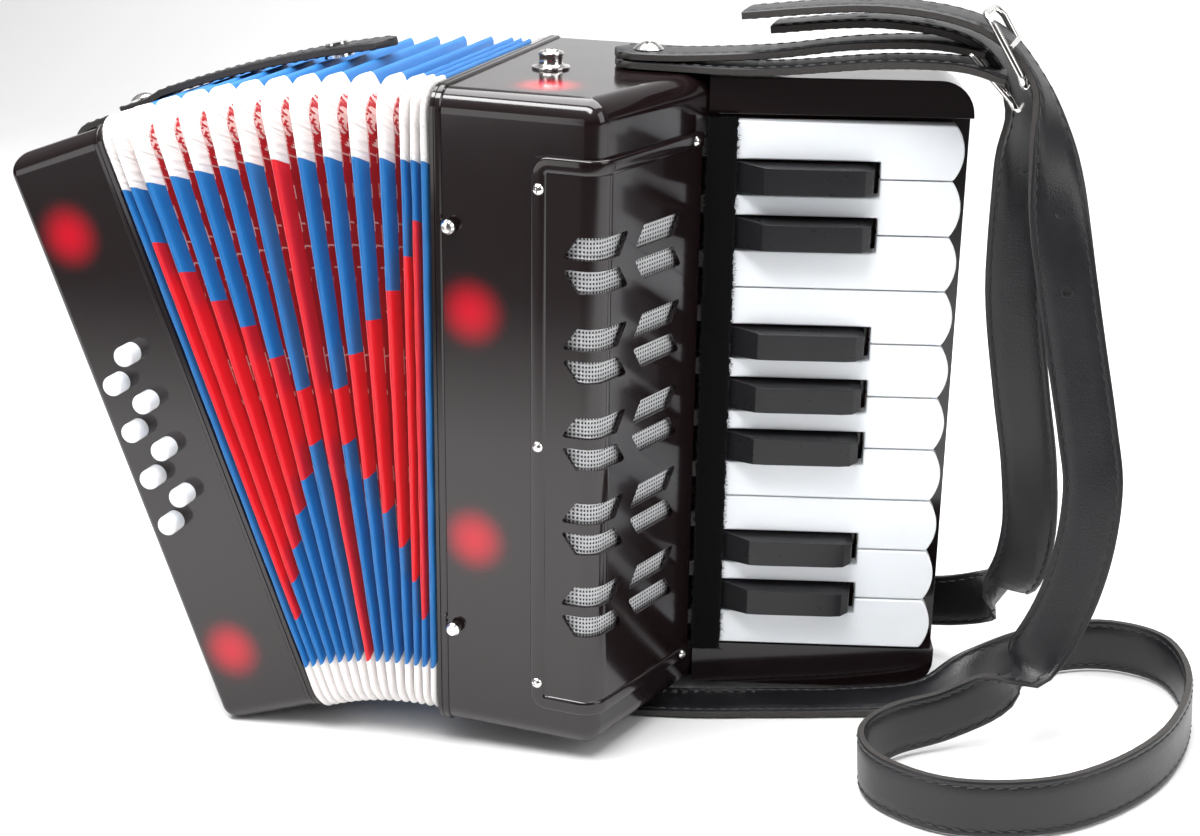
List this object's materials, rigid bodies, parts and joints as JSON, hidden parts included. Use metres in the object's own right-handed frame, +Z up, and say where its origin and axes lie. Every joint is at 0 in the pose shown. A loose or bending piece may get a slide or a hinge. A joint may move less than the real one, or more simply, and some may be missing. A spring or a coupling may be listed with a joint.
{
  "type": "piano accordion",
  "caption": "Children's piano accordion with piano keys, bass buttons, fanned striped bellows, glossy dark cases, slotted grille and black carrying straps.",
  "frame": {"origin": "on the surface the instrument stands on, under the middle of its bounding box", "axes": "+Z up, +X from the bass side to the treble side along the bellows, +Y from the grille side to the player side"},
  "size_m": [0.4091, 0.1427, 0.2562],
  "materials": {
    "case_plastic": "high gloss, brown black",
    "white_keys": "semi gloss",
    "black_keys": "satin",
    "buttons": "semi gloss",
    "bellows_card": "paper-covered card in blue, red and white",
    "chrome": "polished",
    "strap_leather": "grained imitation leather",
    "mesh_cloth": "woven",
    "felt": "napped",
    "reed_wood": "plain"
  },
  "bodies": {
    "treble": {"treble_case": "case_plastic", "treble_back_cover": "case_plastic", "grille_cover": "case_plastic", "grille_mesh": "mesh_cloth", "treble_fasteners": "chrome", "keyboard_bed": "case_plastic", "key_felt": "felt", "key_axle": "chrome", "treble_reed_block": "reed_wood", "snap_stud": "chrome", "shoulder_strap_front": "strap_leather", "shoulder_strap_rear": "strap_leather", "strap_tabs": "strap_leather", "strap_buckles": "chrome"},
    "bass": {"bass_case": "case_plastic", "bass_reed_block": "reed_wood", "hand_strap": "strap_leather", "bass_screws": "chrome"},
    "closing_strap": {"bellows_strap": "strap_leather", "snap_socket": "chrome"},
    "white_key_1_body": {"white_key_1": "white_keys"},
    "white_key_2_body": {"white_key_2": "white_keys"},
    "white_key_3_body": {"white_key_3": "white_keys"},
    "white_key_4_body": {"white_key_4": "white_keys"},
    "white_key_5_body": {"white_key_5": "white_keys"},
    "white_key_6_body": {"white_key_6": "white_keys"},
    "white_key_7_body": {"white_key_7": "white_keys"},
    "white_key_8_body": {"white_key_8": "white_keys"},
    "white_key_9_body": {"white_key_9": "white_keys"},
    "white_key_10_body": {"white_key_10": "white_keys"},
    "black_key_1_body": {"black_key_1": "black_keys"},
    "black_key_2_body": {"black_key_2": "black_keys"},
    "black_key_3_body": {"black_key_3": "black_keys"},
    "black_key_4_body": {"black_key_4": "black_keys"},
    "black_key_5_body": {"black_key_5": "black_keys"},
    "black_key_6_body": {"black_key_6": "black_keys"},
    "black_key_7_body": {"black_key_7": "black_keys"},
    "bass_button_1_body": {"bass_button_1": "buttons"},
    "bass_button_2_body": {"bass_button_2": "buttons"},
    "bass_button_3_body": {"bass_button_3": "buttons"},
    "bass_button_4_body": {"bass_button_4": "buttons"},
    "bass_button_5_body": {"bass_button_5": "buttons"},
    "bass_button_6_body": {"bass_button_6": "buttons"},
    "bass_button_7_body": {"bass_button_7": "buttons"},
    "bass_button_8_body": {"bass_button_8": "buttons"},
    "fold_01": {"bellows_fold_01": "bellows_card"},
    "fold_02": {"bellows_fold_02": "bellows_card"},
    "fold_03": {"bellows_fold_03": "bellows_card"},
    "fold_04": {"bellows_fold_04": "bellows_card"},
    "fold_05": {"bellows_fold_05": "bellows_card"},
    "fold_06": {"bellows_fold_06": "bellows_card"},
    "fold_07": {"bellows_fold_07": "bellows_card"},
    "fold_08": {"bellows_fold_08": "bellows_card"},
    "fold_09": {"bellows_fold_09": "bellows_card"},
    "fold_10": {"bellows_fold_10": "bellows_card"},
    "fold_11": {"bellows_fold_11": "bellows_card"},
    "fold_12": {"bellows_fold_12": "bellows_card"},
    "fold_13": {"bellows_fold_13": "bellows_card"},
    "fold_14": {"bellows_fold_14": "bellows_card"},
    "fold_15": {"bellows_fold_15": "bellows_card"}
  },
  "joints": [
    {"name": "bellows_hinge_01", "type": "hinge", "parent": "treble", "child": "fold_01", "pos_m": [-0.05362, 0.008, 0.01307], "axis": [0, -1, 0], "range_deg": [-0.09615, 0]},
    {"name": "bellows_hinge_02", "type": "hinge", "parent": "fold_01", "child": "fold_02", "pos_m": [-0.05681, 0.008, 0.01328], "axis": [0, -1, 0], "range_deg": [-0.09615, 0]},
    {"name": "bellows_hinge_03", "type": "hinge", "parent": "fold_02", "child": "fold_03", "pos_m": [-0.06, 0.008, 0.0135], "axis": [0, -1, 0], "range_deg": [-0.09615, 0]},
    {"name": "bellows_hinge_04", "type": "hinge", "parent": "fold_03", "child": "fold_04", "pos_m": [-0.0632, 0.008, 0.0137], "axis": [0, -1, 0], "range_deg": [-1.25, 0]},
    {"name": "bellows_hinge_05", "type": "hinge", "parent": "fold_04", "child": "fold_05", "pos_m": [-0.06639, 0.008, 0.01384], "axis": [0, -1, 0], "range_deg": [-1.92, 0]},
    {"name": "bellows_hinge_06", "type": "hinge", "parent": "fold_05", "child": "fold_06", "pos_m": [-0.06959, 0.008, 0.01387], "axis": [0, -1, 0], "range_deg": [-1.92, 0]},
    {"name": "bellows_hinge_07", "type": "hinge", "parent": "fold_06", "child": "fold_07", "pos_m": [-0.07279, 0.008, 0.01379], "axis": [0, -1, 0], "range_deg": [-1.92, 0]},
    {"name": "bellows_opening", "type": "hinge", "parent": "fold_07", "child": "fold_08", "pos_m": [-0.07599, 0.008, 0.0136], "axis": [0, -1, 0], "range_deg": [-1.92, 0]},
    {"name": "bellows_hinge_09", "type": "hinge", "parent": "fold_08", "child": "fold_09", "pos_m": [-0.07917, 0.008, 0.01331], "axis": [0, -1, 0], "range_deg": [-1.92, 0]},
    {"name": "bellows_hinge_10", "type": "hinge", "parent": "fold_09", "child": "fold_10", "pos_m": [-0.08235, 0.008, 0.01291], "axis": [0, -1, 0], "range_deg": [-1.92, 0]},
    {"name": "bellows_hinge_11", "type": "hinge", "parent": "fold_10", "child": "fold_11", "pos_m": [-0.08551, 0.008, 0.0124], "axis": [0, -1, 0], "range_deg": [-1.92, 0]},
    {"name": "bellows_hinge_12", "type": "hinge", "parent": "fold_11", "child": "fold_12", "pos_m": [-0.08865, 0.008, 0.01179], "axis": [0, -1, 0], "range_deg": [-1.92, 0]},
    {"name": "bellows_hinge_13", "type": "hinge", "parent": "fold_12", "child": "fold_13", "pos_m": [-0.09177, 0.008, 0.01107], "axis": [0, -1, 0], "range_deg": [-1.92, 0]},
    {"name": "bellows_hinge_14", "type": "hinge", "parent": "fold_13", "child": "fold_14", "pos_m": [-0.09486, 0.008, 0.01025], "axis": [0, -1, 0], "range_deg": [-0.96154, 0]},
    {"name": "bellows_hinge_15", "type": "hinge", "parent": "fold_14", "child": "fold_15", "pos_m": [-0.09794, 0.008, 0.00937], "axis": [0, -1, 0], "range_deg": [-0.09615, 0]},
    {"name": "bellows_hinge_16", "type": "hinge", "parent": "fold_15", "child": "bass", "pos_m": [-0.10102, 0.008, 0.0085], "axis": [0, -1, 0], "range_deg": [-0.09615, 0]},
    {"name": "closing_strap_hinge", "type": "hinge", "parent": "bass", "child": "closing_strap", "pos_m": [-0.17565, 0.001, 0.2248], "axis": [0, -1, 0], "range_deg": [0, 8]},
    {"name": "white_key_1_press", "type": "hinge", "parent": "treble", "child": "white_key_1_body", "pos_m": [0.02428, 0.00793, 0.21005], "axis": [0.0692, 0, 0.9976], "range_deg": [0, 3], "stiffness_Nm_per_rad": 0.3, "springref_deg": -9.74},
    {"name": "white_key_2_press", "type": "hinge", "parent": "treble", "child": "white_key_2_body", "pos_m": [0.02293, 0.00793, 0.1905], "axis": [0.0692, 0, 0.9976], "range_deg": [0, 3], "stiffness_Nm_per_rad": 0.3, "springref_deg": -9.74},
    {"name": "white_key_3_press", "type": "hinge", "parent": "treble", "child": "white_key_3_body", "pos_m": [0.02157, 0.00793, 0.17094], "axis": [0.0692, 0, 0.9976], "range_deg": [0, 3], "stiffness_Nm_per_rad": 0.3, "springref_deg": -9.74},
    {"name": "white_key_4_press", "type": "hinge", "parent": "treble", "child": "white_key_4_body", "pos_m": [0.02021, 0.00793, 0.15139], "axis": [0.0692, 0, 0.9976], "range_deg": [0, 3], "stiffness_Nm_per_rad": 0.3, "springref_deg": -9.74},
    {"name": "white_key_5_press", "type": "hinge", "parent": "treble", "child": "white_key_5_body", "pos_m": [0.01886, 0.00793, 0.13184], "axis": [0.0692, 0, 0.9976], "range_deg": [0, 3], "stiffness_Nm_per_rad": 0.3, "springref_deg": -9.74},
    {"name": "white_key_6_press", "type": "hinge", "parent": "treble", "child": "white_key_6_body", "pos_m": [0.0175, 0.00793, 0.11228], "axis": [0.0692, 0, 0.9976], "range_deg": [0, 3], "stiffness_Nm_per_rad": 0.3, "springref_deg": -9.74},
    {"name": "white_key_7_press", "type": "hinge", "parent": "treble", "child": "white_key_7_body", "pos_m": [0.01614, 0.00793, 0.09273], "axis": [0.0692, 0, 0.9976], "range_deg": [0, 3], "stiffness_Nm_per_rad": 0.3, "springref_deg": -9.74},
    {"name": "white_key_8_press", "type": "hinge", "parent": "treble", "child": "white_key_8_body", "pos_m": [0.01479, 0.00793, 0.07318], "axis": [0.0692, 0, 0.9976], "range_deg": [0, 3], "stiffness_Nm_per_rad": 0.3, "springref_deg": -9.74},
    {"name": "white_key_9_press", "type": "hinge", "parent": "treble", "child": "white_key_9_body", "pos_m": [0.01343, 0.00793, 0.05363], "axis": [0.0692, 0, 0.9976], "range_deg": [0, 3], "stiffness_Nm_per_rad": 0.3, "springref_deg": -9.74},
    {"name": "white_key_10_press", "type": "hinge", "parent": "treble", "child": "white_key_10_body", "pos_m": [0.01207, 0.00793, 0.03407], "axis": [0.0692, 0, 0.9976], "range_deg": [0, 3], "stiffness_Nm_per_rad": 0.3, "springref_deg": -9.74},
    {"name": "black_key_1_press", "type": "hinge", "parent": "treble", "child": "black_key_1_body", "pos_m": [0.0236, 0.00793, 0.20027], "axis": [0.0692, 0, 0.9976], "range_deg": [0, 3.5], "stiffness_Nm_per_rad": 0.3, "springref_deg": -9.74},
    {"name": "black_key_2_press", "type": "hinge", "parent": "treble", "child": "black_key_2_body", "pos_m": [0.02225, 0.00793, 0.18072], "axis": [0.0692, 0, 0.9976], "range_deg": [0, 3.5], "stiffness_Nm_per_rad": 0.3, "springref_deg": -9.74},
    {"name": "black_key_3_press", "type": "hinge", "parent": "treble", "child": "black_key_3_body", "pos_m": [0.01953, 0.00793, 0.14161], "axis": [0.0692, 0, 0.9976], "range_deg": [0, 3.5], "stiffness_Nm_per_rad": 0.3, "springref_deg": -9.74},
    {"name": "black_key_4_press", "type": "hinge", "parent": "treble", "child": "black_key_4_body", "pos_m": [0.01818, 0.00793, 0.12206], "axis": [0.0692, 0, 0.9976], "range_deg": [0, 3.5], "stiffness_Nm_per_rad": 0.3, "springref_deg": -9.74},
    {"name": "black_key_5_press", "type": "hinge", "parent": "treble", "child": "black_key_5_body", "pos_m": [0.01682, 0.00793, 0.10251], "axis": [0.0692, 0, 0.9976], "range_deg": [0, 3.5], "stiffness_Nm_per_rad": 0.3, "springref_deg": -9.74},
    {"name": "black_key_6_press", "type": "hinge", "parent": "treble", "child": "black_key_6_body", "pos_m": [0.01411, 0.00793, 0.0634], "axis": [0.0692, 0, 0.9976], "range_deg": [0, 3.5], "stiffness_Nm_per_rad": 0.3, "springref_deg": -9.74},
    {"name": "black_key_7_press", "type": "hinge", "parent": "treble", "child": "black_key_7_body", "pos_m": [0.01275, 0.00793, 0.04385], "axis": [0.0692, 0, 0.9976], "range_deg": [0, 3.5], "stiffness_Nm_per_rad": 0.3, "springref_deg": -9.74},
    {"name": "bass_button_1_press", "type": "slide", "parent": "bass", "child": "bass_button_1_body", "axis": [0, 1, 0], "range_m": [0, 0.0035], "stiffness_N_per_m": 120, "springref_m": -0.004},
    {"name": "bass_button_2_press", "type": "slide", "parent": "bass", "child": "bass_button_2_body", "axis": [0, 1, 0], "range_m": [0, 0.0035], "stiffness_N_per_m": 120, "springref_m": -0.004},
    {"name": "bass_button_3_press", "type": "slide", "parent": "bass", "child": "bass_button_3_body", "axis": [0, 1, 0], "range_m": [0, 0.0035], "stiffness_N_per_m": 120, "springref_m": -0.004},
    {"name": "bass_button_4_press", "type": "slide", "parent": "bass", "child": "bass_button_4_body", "axis": [0, 1, 0], "range_m": [0, 0.0035], "stiffness_N_per_m": 120, "springref_m": -0.004},
    {"name": "bass_button_5_press", "type": "slide", "parent": "bass", "child": "bass_button_5_body", "axis": [0, 1, 0], "range_m": [0, 0.0035], "stiffness_N_per_m": 120, "springref_m": -0.004},
    {"name": "bass_button_6_press", "type": "slide", "parent": "bass", "child": "bass_button_6_body", "axis": [0, 1, 0], "range_m": [0, 0.0035], "stiffness_N_per_m": 120, "springref_m": -0.004},
    {"name": "bass_button_7_press", "type": "slide", "parent": "bass", "child": "bass_button_7_body", "axis": [0, 1, 0], "range_m": [0, 0.0035], "stiffness_N_per_m": 120, "springref_m": -0.004},
    {"name": "bass_button_8_press", "type": "slide", "parent": "bass", "child": "bass_button_8_body", "axis": [0, 1, 0], "range_m": [0, 0.0035], "stiffness_N_per_m": 120, "springref_m": -0.004}
  ],
  "couplings": [
    {"joint": "bellows_hinge_01", "follows": "bellows_opening", "ratio": 0.05},
    {"joint": "bellows_hinge_02", "follows": "bellows_opening", "ratio": 0.05},
    {"joint": "bellows_hinge_03", "follows": "bellows_opening", "ratio": 0.05},
    {"joint": "bellows_hinge_04", "follows": "bellows_opening", "ratio": 0.65},
    {"joint": "bellows_hinge_05", "follows": "bellows_opening", "ratio": 1},
    {"joint": "bellows_hinge_06", "follows": "bellows_opening", "ratio": 1},
    {"joint": "bellows_hinge_07", "follows": "bellows_opening", "ratio": 1},
    {"joint": "bellows_hinge_09", "follows": "bellows_opening", "ratio": 1},
    {"joint": "bellows_hinge_10", "follows": "bellows_opening", "ratio": 1},
    {"joint": "bellows_hinge_11", "follows": "bellows_opening", "ratio": 1},
    {"joint": "bellows_hinge_12", "follows": "bellows_opening", "ratio": 1},
    {"joint": "bellows_hinge_13", "follows": "bellows_opening", "ratio": 1},
    {"joint": "bellows_hinge_14", "follows": "bellows_opening", "ratio": 0.5},
    {"joint": "bellows_hinge_15", "follows": "bellows_opening", "ratio": 0.05},
    {"joint": "bellows_hinge_16", "follows": "bellows_opening", "ratio": 0.05},
    {"joint": "closing_strap_hinge", "follows": "bellows_opening", "ratio": -4.16}
  ]
}
